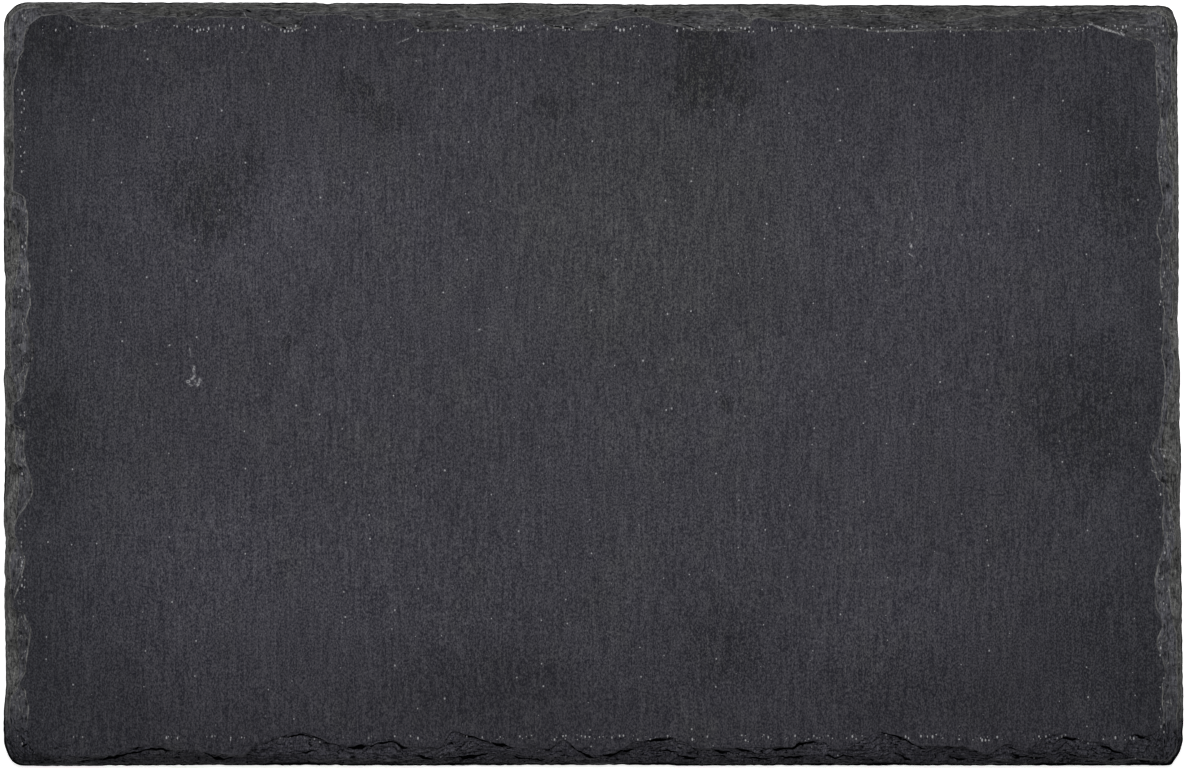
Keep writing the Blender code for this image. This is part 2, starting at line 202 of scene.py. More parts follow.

# %% [markdown]
# ## The flake scars
#
# Each blow of the dressing hammer lifts one flake. It leaves a scar whose inner edge is an arc, and
# where two arcs meet the face runs out between them as a point. The line that the largest scars cut
# into the face is what a person would know this slab by, so it is listed arc by arc. Lower
# down, the scars stop part way up the edge: the large ones are listed too, and the small ones are
# scattered with a fixed seed. Each leans a little to one end, as a glancing blow makes it.

# %% The line of the face
# The line where the top ledge meets the face: (place along the side, distance inside the full size),
# millimetres. It runs in scallops, with the face standing out in points between them.
FACE_LINE = {
    "front": ((-142.5, 2.9), (-127, 3.2), (-119.5, 5.4), (-114, 5.6), (-110, 4.5), (-92.5, 3.2),
              (-87.5, 6.4), (-77.5, 9.2), (-65.5, 5.6), (-53, 7.4), (-48.5, 5.3), (-40.5, 5.0), (-37, 9.2),
              (-24.5, 6.4), (-20.5, 5.0), (-12, 4.8), (-8, 7.1), (-3, 4.2), (2, 3.2), (7, 4.4),
              (10.5, 6.6), (20, 7.9), (29, 4.8), (52.5, 5.4), (54, 6.9), (59.5, 6.9), (64.5, 4.5),
              (75.5, 9.2), (81, 8.1), (85.5, 5.6), (96, 5.4), (104, 3.5), (108.5, 6.1), (113, 4.5),
              (120, 8.7), (132.5, 6.6), (139, 4.2), (141.5, 8.5)),
    "right": ((-88, 5.9), (-80, 6.2), (-75, 5.4), (-67.5, 7.5), (-63.5, 6.0), (-57, 8.0), (-51, 8.0),
              (-42.5, 6.0), (-26.5, 5.9), (-24.5, 7.7), (-20.5, 8.8), (-16.5, 8.7), (-13.5, 7.0),
              (-9.5, 6.2), (1, 5.4), (9, 6.2), (19.5, 5.6), (26, 6.6), (35.5, 6.4), (41.5, 7.7),
              (47, 5.9), (55, 7.0), (61.5, 7.5), (70, 6.7), (76, 7.5), (85.5, 7.9)),
    "back": ((143.5, 10.2), (136, 8.3), (129, 6.0), (126.5, 7.2), (119.5, 7.0), (117, 7.9), (113, 7.5),
             (107, 8.1), (103, 7.6), (96, 7.9), (92.5, 7.5), (87.5, 8.0), (75.5, 8.1), (64.5, 7.0),
             (57.5, 7.1), (54, 5.5), (46.5, 5.2), (45, 4.5), (42, 4.7), (40.5, 8.1), (29.5, 7.9),
             (17.5, 5.9), (14, 4.3), (9, 4.2), (5, 5.2), (3, 7.5), (-3.5, 7.9), (-10, 7.2), (-16, 4.6),
             (-20, 5.4), (-21.5, 7.0), (-27, 7.4), (-29, 5.9), (-32.5, 5.9), (-34.5, 7.9), (-44.5, 7.9),
             (-46.5, 7.0), (-49, 4.5), (-56, 5.4), (-62.5, 4.8), (-64, 3.6), (-75.5, 3.6), (-77, 7.4),
             (-80, 7.6), (-87.5, 5.6), (-90.5, 4.5), (-99.5, 4.3), (-106, 4.8), (-108, 6.0), (-110, 4.1),
             (-114, 4.1), (-116.5, 5.4), (-126, 7.4), (-132, 6.7), (-136, 5.1), (-138, 3.8), (-142.5, 3.7)),
    "left": ((88, 5.8), (85, 4.4), (77.5, 3.1), (67, 3.1), (61.5, 3.3), (51, 2.9), (49, 6.2), (44.5, 7.0),
             (38, 6.8), (21, 7.6), (16.5, 6.5), (13, 7.3), (9.5, 8.7), (0, 6.2), (-3.5, 5.3), (-5.5, 3.2),
             (-10.5, 3.0), (-12, 6.2), (-17, 6.0), (-28, 8.2), (-38, 3.3), (-47, 6.1), (-51, 5.2),
             (-58.5, 3.0), (-60.5, 6.0), (-64.5, 7.7), (-75, 6.5), (-79, 4.7), (-80.5, 6.4), (-85, 7.3),
             (-89, 6.9)),
}

face_knots = knots_of(FACE_LINE)
print("face line:", len(face_knots), "knots")

# %% Scars below the face
# Scars that stop part way up the edge: (place, half length, inset), millimetres
MIDDLE_SCARS_BY_HAND = {
    "front": ((-127, 7, 2.9), (-94, 8, 3.2), (-28, 14, 4.0), (13, 12, 4.7), (33, 11, 4.6), (52, 8, 3.2),
              (76, 10, 4.4), (93, 11, 4.8), (120, 10, 3.8)),
    "right": ((-52, 9, 3.6), (-17, 8, 5.4), (64, 10, 3.0)),
    "back": ((92, 12, 4.4), (48, 10, 4.0), (-14, 12, 4.2), (-70, 9, 2.6), (-112, 11, 3.9)),
    "left": ((70, 12, 2.6), (34, 9, 4.4), (-30, 10, 4.2), (-70, 12, 3.8)),
}
SCAR_ROUNDNESS = 0.6
SCAR_LEAN = 0.38


def scars_by_hand(table):
    """Scars from a table, as (distance round the slab, half length, inset) in metres."""
    return [(distance_of(side, place), half_length * MM, inset * MM)
            for side, scars in table.items()
            for place, half_length, inset in scars]


def scattered_scars(generator, count, half_lengths, insets):
    """Small scars spread round the slab."""
    return [(generator.uniform(0, PERIMETER), generator.uniform(*half_lengths), generator.uniform(*insets))
            for _ in range(count)]


def ledge_inset(distance, least, scars):
    """Inset of a ledge: the deepest of the scars that cross this place."""
    inset = least
    for centre, half_length, depth in scars:
        share = gap_between(distance, centre) / half_length
        if abs(share) < 1.0:
            lean = SCAR_LEAN * math.sin(centre / MM)
            leaned = share + lean * (1 - share * share)
            inset = max(inset, least + (depth - least) * (1 - leaned * leaned) ** SCAR_ROUNDNESS)
    return inset


def waves(generator, count, shortest, longest):
    """Waves that close round the slab, for a wander that never jumps."""
    return [(round(PERIMETER / generator.uniform(shortest, longest)), generator.uniform(0, math.tau))
            for _ in range(count)]


def wander(distance, wave_set):
    """Sum of the waves at a place, between -1 and 1."""
    angle = math.tau * distance / PERIMETER
    return sum(math.sin(cycles * angle + phase) for cycles, phase in wave_set) / len(wave_set)


chance = random.Random(311)
low_scars = scattered_scars(chance, 95, (3.0 * MM, 8.0 * MM), (1.1 * MM, 2.3 * MM))
middle_scars = scars_by_hand(MIDDLE_SCARS_BY_HAND)
middle_scars += scattered_scars(chance, 34, (4.0 * MM, 10.0 * MM), (2.4 * MM, 4.4 * MM))
height_waves = [waves(chance, 5, 20 * MM, 90 * MM) for _ in range(2)]
line_waves = [waves(chance, 6, 6 * MM, 22 * MM) for _ in range(2)]
rise_waves = [waves(chance, 5, 9 * MM, 45 * MM) for _ in range(3)]
print("scars:", len(middle_scars), "in the middle ledge and", len(low_scars), "in the low one")

# %% [markdown]
# ## The section of the edge
#
# Cut through the edge anywhere and there is a low upright wall, a steep slope and then three ledges.
# These are the fixed frame's own ledges, worked out in the same way, so that the finished edge keeps
# its shape. Each ledge's riser fades and grows again round the slab.

# %% Wall, slope and ledges
WALL_HEIGHT = 2.1 * MM
SLOPE_SHARE = 0.55
SLOPE_TOP = 3.4 * MM
LOW_LEDGE_TOP = 3.9 * MM
LOW_LEDGE_RISE = 0.32 * MM
LOW_LEDGE_INSET = 0.9 * MM
MIDDLE_LEDGE_TOP = 4.95 * MM
MIDDLE_LEDGE_RISE = 0.45 * MM
MIDDLE_LEDGE_INSET = 1.9 * MM
TOP_LEDGE_RISE = 0.46 * MM
LEAST_RISE_SHARE = 0.2
RISER_RUN = 0.12 * MM
TREAD_RUN = 0.35 * MM
LEDGE_HEIGHT_WANDER = 0.14 * MM
LEDGE_LINE_WANDER = 0.45 * MM
FACE_HOLLOW = 0.22 * MM
FACE_WAVE_LENGTH = 74.0 * MM


def face_height(x, y):
    """Height of the riven face: long shallow waves that lie a little below the full thickness."""
    along = math.tau * x / FACE_WAVE_LENGTH
    across = math.tau * y / FACE_WAVE_LENGTH
    swell = (math.sin(0.8 * along + 0.5 * across) + math.sin(0.3 * along - 1.1 * across + 1.0)
             + math.sin(1.7 * across + 2.0)) / 3
    return SLAB_THICKNESS - FACE_HOLLOW * (0.5 - 0.5 * swell)


def ledge_insets(distance):
    """Insets of the low, middle and top ledge, each clear of the one outside it."""
    low, middle = (LEDGE_LINE_WANDER * wander(distance, line) for line in line_waves)
    low = 0.4 * low + ledge_inset(distance, LOW_LEDGE_INSET, low_scars)
    middle += ledge_inset(distance, MIDDLE_LEDGE_INSET, middle_scars)
    top = line_at(distance, face_knots) + outline_shift(distance)
    middle = min(middle, top - RISER_RUN - TREAD_RUN)
    low = min(low, middle - RISER_RUN - TREAD_RUN)
    return low, middle, top


def section_at(distance):
    """The edge's section as (inset, height), from the head of the wall to the foot of the top riser."""
    low, middle, top = ledge_insets(distance)
    rises = [rise * min(max(0.55 + 0.9 * wander(distance, fade), LEAST_RISE_SHARE), 1.0)
             for rise, fade in zip((LOW_LEDGE_RISE, MIDDLE_LEDGE_RISE, TOP_LEDGE_RISE), rise_waves)]
    low_top = LOW_LEDGE_TOP + LEDGE_HEIGHT_WANDER * wander(distance, height_waves[0])
    middle_top = MIDDLE_LEDGE_TOP + LEDGE_HEIGHT_WANDER * wander(distance, height_waves[1])
    return (
        (0.0, WALL_HEIGHT),
        (SLOPE_SHARE * low, SLOPE_TOP),
        (low, low_top - rises[0]),
        (low + RISER_RUN, low_top),
        (middle, middle_top - rises[1]),
        (middle + RISER_RUN, middle_top),
        (top, SLAB_THICKNESS - 0.5 * FACE_HOLLOW - rises[2]),
    )


def height_in(section, inset):
    """Height of a section at an inset."""
    for (near, near_height), (far, far_height) in zip(section, section[1:]):
        if inset <= far:
            return near_height + (far_height - near_height) * (inset - near) / (far - near)
    return section[-1][1]


print("section:", len(section_at(0.0)), "points from the wall to the foot of the face")

# %% [markdown]
# Between the ledges the break jumps from one cleavage plane to the next. On the front edge these jumps
# are the first thing that one sees: thin jagged steps that cross the band at a slant. They are listed
# as lines of points, and across each line the stone drops by a fraction of a millimetre. The
# drop fades at both ends of the line. A black cleft runs along the foot of it, painted as a crack with
# its shadow, thick and thin by turns, and fades with it.

# %% Slanting steps of the front edge
# Each step is a line of (place along the front, inset), millimetres
FRONT_STEPS = (
    ((-130, 1.9), (-126, 3), (-123.4, 3.3), (-120.8, 4), (-118.1, 4.6), (-114.2, 5.1), (-112.3, 4.6),
     (-110.2, 4.3)),
    ((-122.1, 4), (-119.5, 5.6), (-116.8, 6.7)),
    ((-144.5, 2.2), (-140, 2.7)),
    ((-102.9, 3.8), (-101, 3.5), (-99.4, 2.5), (-97.1, 2.2), (-93.1, 2.5)),
    ((-82, 7.5), (-79.4, 8), (-77.3, 8.8), (-74.1, 8), (-69.9, 7.7), (-68.1, 6.7), (-66.2, 5.4),
     (-64.9, 5.1)),
    ((-77.3, 3.5), (-75.2, 4), (-72, 4.6)),
    ((-66, 4.6), (-64.1, 4), (-62.5, 3.3)),
    ((-65.4, 5.1), (-61, 5.9), (-58.3, 5.6), (-56.7, 6.7), (-53.6, 6.9), (-52, 6.7), (-50.4, 5.6),
     (-48.3, 5.1)),
    ((-47.5, 3.3), (-45.2, 3), (-43, 2.2), (-41.5, 1.7)),
    ((-37.8, 2.5), (-33.8, 2.7), (-29.9, 3.3), (-27.2, 3.8)),
    ((-35.7, 9.3), (-33.6, 8.8), (-30.4, 7.7), (-26.7, 6.7), (-24.6, 6.2), (-21.4, 5.4)),
    ((-22, 3), (-18, 2.5), (-15.4, 1.9), (-12.7, 1.7)),
    ((-7.5, 6.7), (-5.6, 5.4), (-3, 4), (-0.9, 2.7), (1.2, 1.9)),
    ((1.8, 2.7), (3.9, 3.3), (7, 4), (9.7, 4.6), (11.2, 4.3)),
    ((12.3, 6.7), (14.4, 7.2), (17.6, 7.5), (21.8, 7.5)),
    ((24.7, 6.2), (26.3, 5.1), (28.1, 4.6)),
    ((16.2, 3.8), (19.7, 4.3), (22.8, 4)),
    ((22.3, 2.7), (26, 2.5), (28.6, 2.2)),
    ((30.7, 4.6), (35.5, 4), (37.3, 3.3), (38.1, 2.2)),
    ((36.8, 4.8), (40, 4.6), (42.6, 3.8), (44.4, 3)),
    ((38.6, 2.2), (41.8, 2.5), (46, 1.9)),
    ((46, 4.6), (49.2, 4.8), (52.3, 5.1), (53.7, 6.4), (55.8, 6.7), (59.7, 6.4)),
    ((47.9, 2.5), (50.5, 2.7), (56, 3)),
    ((59.7, 2.7), (61.8, 3.3), (63.7, 2.5), (65.5, 3.3), (67.6, 2.7), (70.8, 1.9)),
    ((75.5, 9), (78.2, 8.8), (80.8, 8), (82.6, 6.7), (85.3, 5.4), (87.4, 4.6)),
    ((78.2, 4), (80.3, 3.5), (82.1, 2.2), (84, 1.7)),
    ((90.8, 5.4), (94, 5.4), (96.1, 5.1)),
    ((92.7, 3.3), (95.3, 2.5), (99.2, 2.2)),
    ((109.3, 5.4), (111.9, 4.3)),
    ((121.6, 8.5), (124.3, 8), (128.2, 7.5)),
    ((132.2, 6.4), (134.8, 5.4), (138.2, 4), (140.9, 2.7), (144, 1.9), (146.7, 1.1)),
    ((123, 4), (126.1, 3.3), (129.5, 1.9)),
    ((109.8, 3.3), (115.1, 2.7), (120.3, 2.2)),
    ((141.4, 8.5), (145.4, 8.3), (149.3, 8), (151.4, 8)),
)
STEP_DROP = 0.42 * MM
STEP_FADE = 2.5 * MM
CLEFT_HALF_WIDTH = 0.46 * MM
CLEFT_WANDER = 4.0 * MM
front_lines = [[(distance_of("front", place), inset * MM) for place, inset in line] for line in FRONT_STEPS]


def steps_at(distance):
    """Steps that cross the edge at this place, as (inset, drop)."""
    crossed = []
    for line in front_lines:
        for (start, start_inset), (end, end_inset) in zip(line, line[1:]):
            if start <= distance < end:
                share = (distance - start) / (end - start)
                end_gap = min(distance - line[0][0], line[-1][0] - distance)
                drop = STEP_DROP * min(end_gap / STEP_FADE, 1.0)
                crossed.append((start_inset + (end_inset - start_inset) * share, drop))
    return crossed


print("front edge:", len(FRONT_STEPS), "slanting steps")

# %% [markdown]
# The rest of the band is plain broken stone. It is made from three sizes of noise, which are heights
# first. A share of that height is then rounded to the nearest cleavage plane. Rounding a rough slope
# to fixed levels turns it into shelves with wandering brows, just as cleavage does to a real break.

# %% Broken relief
RELIEF = ((5.5 * MM, 0.20 * MM), (2.1 * MM, 0.11 * MM), (0.9 * MM, 0.055 * MM))
PLANE_SPACING = 0.30 * MM
SHELF_PATCH = 13.0 * MM
SHELF_STRENGTH = (0.25, 0.95)
STEP_JAG = 0.45 * MM
STEP_JAG_LENGTH = 1.7 * MM


def rough(x, y, size, layer=0.0):
    """Noise of a given size at a place, between about -1 and 1."""
    return noise.noise(Vector((x / size, y / size, layer + size / MM)))


def broken_height(x, y, plain_height):
    """Height of the broken stone at a place: the plain section, roughened and cut into shelves."""
    height = plain_height + sum(rough(x, y, size) * depth for size, depth in RELIEF)
    least, most = SHELF_STRENGTH
    strength = min(max(0.55 + 1.3 * rough(x, y, SHELF_PATCH, 7.0), least), most)
    shelf = round(height / PLANE_SPACING) * PLANE_SPACING
    return height + (shelf - height) * strength


# %% [markdown]
# ## Modelling the slab
#
# The edge is one ring extruded again and again: a circle of edges is laid on the outline, climbs the
# wall and then runs inwards over the broken band, ring after ring. Each corner point keeps the number
# of its station in a layer of its own, so that it always knows where round the slab it belongs. The
# points of the band are also shaken a little sideways, because rows of points that run parallel would
# draw lines that broken stone doesn't have. Further layers keep, for the material to read, each point's
# share of the way in (0 at the outline, 1 at the arris, 2 on the face), how deep it lies inside a
# cleft and its painted shadow, and how far it is past the brow of the middle ledge.

# %% Stations round the slab
STATIONS = 2100
WALL_RINGS = 6
BAND_RINGS = 30
OUTLINE_ROUGHNESS = 0.26 * MM
OUTLINE_GRAIN = 2.3 * MM
FACE_LINE_ROUGHNESS = 0.28 * MM
FACE_LINE_GRAIN = 1.5 * MM
LEAST_WALL = 1.0 * MM
FACE_CLEARANCE = 0.06 * MM
NO_CLEFT = -1.0
FACE_PAST_LEDGE = 10.0
MIDDLE_BROW = 5


def outline_at(distance):
    """Point of the outline and the outward direction there."""
    point, outward, _ = guide_at(distance)
    shift = outline_shift(distance) - OUTLINE_ROUGHNESS * abs(rough(*point, OUTLINE_GRAIN))
    return (point[0] + outward[0] * shift, point[1] + outward[1] * shift), outward


distances = [PERIMETER * number / STATIONS for number in range(STATIONS)]
outline = [outline_at(distance) for distance in distances]
sections = [section_at(distance) for distance in distances]
steps = [steps_at(distance) for distance in distances]
face_lines = [section[-1][0] + FACE_LINE_ROUGHNESS * rough(*point, FACE_LINE_GRAIN)
              for section, (point, _) in zip(sections, outline)]
middle_x = (min(point[0] for point, _ in outline) + max(point[0] for point, _ in outline)) / 2
middle_y = (min(point[1] for point, _ in outline) + max(point[1] for point, _ in outline)) / 2
print("stations:", STATIONS, "about", round(PERIMETER / STATIONS / MM, 2), "mm apart")

# %% Extrude the rings
slab_mesh = bmesh.new()
station_layer = slab_mesh.verts.layers.int.new("station")
share_layer = slab_mesh.verts.layers.float.new("share")
# The cleft layer marks the black line at the foot of each front step: a crack with its painted shadow.
cleft_layer = slab_mesh.verts.layers.float.new("cleft_and_shadow")
ledge_layer = slab_mesh.verts.layers.float.new("past_ledge")
proud_layer = slab_mesh.verts.layers.float.new("proud")
shake = random.Random(17)


def next_ring(edges):
    """Extrude a ring of edges and return the new ring's vertices and edges."""
    made = bmesh.ops.extrude_edge_only(slab_mesh, edges=edges)["geom"]
    verts = [item for item in made if isinstance(item, bmesh.types.BMVert)]
    ring = set(verts)
    ring_edges = [item for item in made
                  if isinstance(item, bmesh.types.BMEdge) and item.verts[0] in ring and item.verts[1] in ring]
    return verts, ring_edges


def spot_at(vert, inset, sideways=0.0):
    """Place on the plan at an inset from the outline, shifted sideways along the edge."""
    point, outward = outline[vert[station_layer]]
    x = point[0] - outward[0] * inset - outward[1] * sideways - middle_x
    y = point[1] - outward[1] * inset + outward[0] * sideways - middle_y
    return x, y


def place_on_band(vert, inset, sideways=0.0):
    """Put a point on the broken band: its section, its slanting steps and its roughness."""
    number = vert[station_layer]
    x, y = spot_at(vert, inset, sideways)
    height = height_in(sections[number], inset)
    jag = STEP_JAG * rough(x, y, STEP_JAG_LENGTH, 3.0)
    thickness = min(max(0.7 + rough(x, y, CLEFT_WANDER, 5.0), 0.4), 1.0)
    cleft_and_shadow = NO_CLEFT
    for step_inset, drop in steps[number]:
        outside = step_inset + jag - inset
        if outside > 0.0:
            height -= drop
        half_width = CLEFT_HALF_WIDTH * thickness * drop / STEP_DROP
        cleft_and_shadow = max(cleft_and_shadow, (half_width - abs(outside - half_width)) / MM)
    vert[cleft_layer] = cleft_and_shadow
    vert[ledge_layer] = (inset - sections[number][MIDDLE_BROW][0]) / MM
    height = broken_height(x, y, height)
    vert.co = (x, y, min(max(height, LEAST_WALL), face_height(x, y) - FACE_CLEARANCE))
    vert[share_layer] = inset / face_lines[number]


ring_verts = bmesh.ops.create_circle(slab_mesh, segments=STATIONS, radius=SLAB_WIDTH)["verts"]
for number, vert in enumerate(ring_verts):
    vert[station_layer] = number
    vert.co = (*spot_at(vert, 0.0), 0.0)
ring_edges = list(slab_mesh.edges)
underside_edges = list(ring_edges)
print("first ring:", len(ring_edges), "edges on the floor")

# %% [markdown]
# The wall below the band is a break too, and its strata show as fine grooves that run level.

# %% Wall
WALL_GROOVE = 0.10 * MM
WALL_GROOVE_LENGTH = 3.5 * MM
WALL_GROOVE_HEIGHT = 0.45 * MM
for level in range(1, WALL_RINGS + 1):
    ring_verts, ring_edges = next_ring(ring_edges)
    for vert in ring_verts:
        place_on_band(vert, 0.0)
        x, y, head = vert.co
        height = head * level / WALL_RINGS
        groove = noise.noise(Vector((x / WALL_GROOVE_LENGTH, y / WALL_GROOVE_LENGTH,
                                     height / WALL_GROOVE_HEIGHT)))
        vert.co = (*spot_at(vert, WALL_GROOVE * abs(groove)), height)
print("wall:", WALL_RINGS, "rings")

# %% [markdown]
# Thirty rings cross the band, from the head of the wall to the arris, so close that each step and scar
# takes several of them. The points are shaken by about a third of the gap between two rings.

# %% Broken band
BAND_SHAKE = 0.36
station_gap = PERIMETER / STATIONS
for ring in range(1, BAND_RINGS + 1):
    ring_verts, ring_edges = next_ring(ring_edges)
    for vert in ring_verts:
        line = face_lines[vert[station_layer]]
        ring_gap = line / (BAND_RINGS + 1)
        inset = (ring + shake.uniform(-BAND_SHAKE, BAND_SHAKE)) * ring_gap
        place_on_band(vert, inset, shake.uniform(-BAND_SHAKE, BAND_SHAKE) * station_gap)
print("band:", BAND_RINGS, "rings, up to", round(max(face_lines) / MM, 1), "mm wide")

# %% [markdown]
# The next ring is the arris itself. Three more carry the last riser up to the face and a little way in.

# %% Brow of the face
BROW_WIDTH = 0.3 * MM
FACE_MARGIN = 1.6 * MM
FACE_SHARE = 2.0
ring_verts, ring_edges = next_ring(ring_edges)
for vert in ring_verts:
    place_on_band(vert, face_lines[vert[station_layer]])
for margin in (RISER_RUN, RISER_RUN + BROW_WIDTH, RISER_RUN + FACE_MARGIN):
    ring_verts, ring_edges = next_ring(ring_edges)
    for vert in ring_verts:
        x, y = spot_at(vert, face_lines[vert[station_layer]] + margin)
        vert.co = (x, y, face_height(x, y))
        vert[share_layer] = FACE_SHARE
        vert[cleft_layer] = NO_CLEFT
        vert[ledge_layer] = FACE_PAST_LEDGE
print("edge:", len(slab_mesh.verts), "points in", len(slab_mesh.verts) // STATIONS, "rings")

# %% [markdown]
# The face is a coarse grid, because it's nearly flat, and it is bridged to the last ring of the edge.
# The underside is one flat polygon. At the end every point is held inside the fixed frame's box.

# %% Face and underside
FACE_INSET = 14.5 * MM
FACE_CELL = 3.0 * MM
columns = round((SLAB_LENGTH - 2 * FACE_INSET) / FACE_CELL)
rows = round((SLAB_WIDTH - 2 * FACE_INSET) / FACE_CELL)
grid = bmesh.ops.create_grid(slab_mesh, x_segments=columns, y_segments=rows, size=1.0)["verts"]
for vert in grid:
    x = vert.co.x * (SLAB_LENGTH / 2 - FACE_INSET)
    y = vert.co.y * (SLAB_WIDTH / 2 - FACE_INSET)
    vert.co = (x, y, face_height(x, y))
    vert[share_layer] = FACE_SHARE
    vert[cleft_layer] = NO_CLEFT
    vert[ledge_layer] = FACE_PAST_LEDGE
grid_rim = {edge for vert in grid for edge in vert.link_edges if edge.is_boundary}
bmesh.ops.bridge_loops(slab_mesh, edges=ring_edges + list(grid_rim))
bmesh.ops.contextual_create(slab_mesh, geom=underside_edges)
bmesh.ops.recalc_face_normals(slab_mesh, faces=list(slab_mesh.faces))
for vert in slab_mesh.verts:
    for axis in range(3):
        vert.co[axis] = min(max(vert.co[axis], cad_low[axis]), cad_high[axis])
print("face:", columns, "by", rows, "points")

# %% [markdown]
# A lip that stands proud is painted pale, as wear and highlight, and the foot of a step is painted dark
# as shade. Both follow from the shape: a point stands proud where it lies outside the middle of its
# neighbours, and lies low where it is inside. That distance is kept on the mesh, in millimetres, for the
# material to read.

# %% Proud and hollow points
slab_mesh.normal_update()
for vert in slab_mesh.verts:
    if any(edge.other_vert(vert)[share_layer] < FACE_SHARE for edge in vert.link_edges):
        neighbours = [edge.other_vert(vert).co for edge in vert.link_edges]
        middle = sum(neighbours, Vector()) / len(neighbours)
        vert[proud_layer] = vert.normal.dot(vert.co - middle) / MM

slab_data = bpy.data.meshes.new("riven_slate_slab")
slab_mesh.to_mesh(slab_data)
slab_mesh.free()
slab = bpy.data.objects.new("riven_slate_slab", slab_data)
bpy.context.scene.collection.objects.link(slab)
print("slab:", len(slab_data.polygons), "faces,",
      sum(len(face.vertices) - 2 for face in slab_data.polygons), "triangles")

# %% [markdown]
# ## The finish: riven slate
#
# Slate is a fine clay stone, dark because of the carbon in it. Splitting leaves a matt face with a fine
# grain that runs one way, small bright specks where the stone is bruised, soft stains, and a faint
# drift between blue and olive. The broken edge is the same stone in a fresh break: greyer, with wear
# and a painted highlight along each sharp lip, and painted shade in the foot of each step. All of it is
# drawn by one material from the slab's own coordinates and from the layers that the modelling left on
# the mesh.

# %% Colours and nodes


def to_linear(code):
    """Turn an sRGB hex colour into the linear values that a shader takes."""
    shares = [int(code[at:at + 2], 16) / 255 for at in (1, 3, 5)]
    return [s / 12.92 if s <= 0.04045 else ((s + 0.055) / 1.055) ** 2.4 for s in shares] + [1.0]


slate = bpy.data.materials.new("riven_slate")
slate.use_nodes = True
tree = slate.node_tree
tree.nodes.clear()


def add_node(kind, inputs=None, output=0, **settings):
    """Add a node with its settings, feed its sockets with values or links, and return one output."""
    node = tree.nodes.new("ShaderNode" + kind)
    for name, value in settings.items():
        setattr(node, name, value)
    for socket, value in (inputs or {}).items():
        if isinstance(value, bpy.types.NodeSocket):
            tree.links.new(value, node.inputs[socket])
        else:
            node.inputs[socket].default_value = value
    return node if output is None else node.outputs[output]


place = add_node("TexCoord", output="Object")
place_x, place_y, place_z = add_node("SeparateXYZ", {0: place}, output=None).outputs
from_middle = add_node("Math", {0: place_x}, operation="ABSOLUTE")
print("material:", slate.name)

# %% [markdown]
# The grain of the face is a mixture of noises: short upright dashes, round flecks and long faint
# streaks. A noise is given the real width and length of its grain, and the place on the slab is counted
# in grains of that size. The finest real grain, a twentieth of a millimetre, is too fine to show, so
# the dashes are drawn as coarse as a third of a millimetre.

# %% Grain of the face


def scaled_place(width, length, height):
    """The place on the slab, counted in grains of this size."""
    return add_node("VectorMath", {0: place, 1: (1 / width, 1 / length, 1 / height)}, operation="MULTIPLY")


def grain_noise(width, length, detail, roughness=0.5):
    """Noise whose grain is so wide along X and so long along Y."""
    return add_node("TexNoise", {
        "Vector": scaled_place(width, length, width), "Scale": 1.0, "Detail": detail,
        "Roughness": roughness}, output="Fac")


def weighed(parts):
    """Add up values, each times its weight."""
    total = 0.0
    for value, weight in parts:
        total = add_node("Math", {0: value, 1: weight, 2: total}, operation="MULTIPLY_ADD")
    return total


dash = grain_noise(0.34 * MM, 0.64 * MM, 1.0)
fleck = grain_noise(0.30 * MM, 0.34 * MM, 1.0)
streak = grain_noise(0.55 * MM, 9.0 * MM, 1.0)
texture = weighed(((dash, 0.48), (fleck, 0.34), (streak, 0.18)))
print("grain:", len(tree.nodes), "nodes so far")

# %% [markdown]
# Stains are soft dark patches, wider than any grain. Each is a stretched distance from a point, bent
# by noise so that its edge isn't a clean ellipse, and streaked along the grain as a liquid that soaked
# in. A few small round drips keep their shape, so they aren't bent.

# %% Stains
turned_places = {}


def patch(source, x, y, half_width, half_height, turn, strength, core):
    """A stretched spot on the face: strength within its core, fading to nothing at its rim."""
    angle = math.radians(turn)
    key = (source.node.name, turn)
    if key not in turned_places:
        turned_places[key] = source if turn == 0 else add_node("Mapping", {
            "Vector": source, "Rotation": (0.0, 0.0, -angle)})
    along = (x * math.cos(angle) + y * math.sin(angle)) / half_width
    across = (y * math.cos(angle) - x * math.sin(angle)) / half_height
    spot = add_node("VectorMath", {
        0: turned_places[key], 1: (1 / (half_width * MM), 1 / (half_height * MM), 0.0),
        2: (-along, -across, 0.0)}, operation="MULTIPLY_ADD")
    radius = add_node("VectorMath", {0: spot}, operation="LENGTH", output="Value")
    return add_node("MapRange", {0: radius, 1: core, 2: 1.0, 3: strength, 4: 0.0},
                    interpolation_type="SMOOTHSTEP")


# Soft dark patches: (x, y, half width, half height) in millimetres, turn in degrees, strength
STAINS = (
    (-143, 90, 17, 14, 0, 0.45), (-101, 50, 18, 15, 0, 0.50), (-90, 62, 6, 10, 0, 0.30),
    (-102, 40, 6, 10, 0, 0.25), (-59, 74, 17, 8, -34, 0.50), (-11, 73, 6, 6, 0, 0.35),
    (30, 82, 15, 16, 0, 0.95), (28, 92, 12, 8, 0, 0.4), (129, -5, 26, 25, 0, 0.42),
    (133, -16, 12, 14, 0, 0.16), (138, 55, 12, 20, 0, 0.45), (131, 72, 14, 12, 0, 0.25),
    (137, -72, 24, 30, 0, 0.22), (33, -70, 14, 15, 0, 0.34), (-27, -79, 30, 16, 0, 0.20),
    (79, -79, 30, 15, 0, 0.16), (-143, -12, 16, 26, 0, 0.28),
)
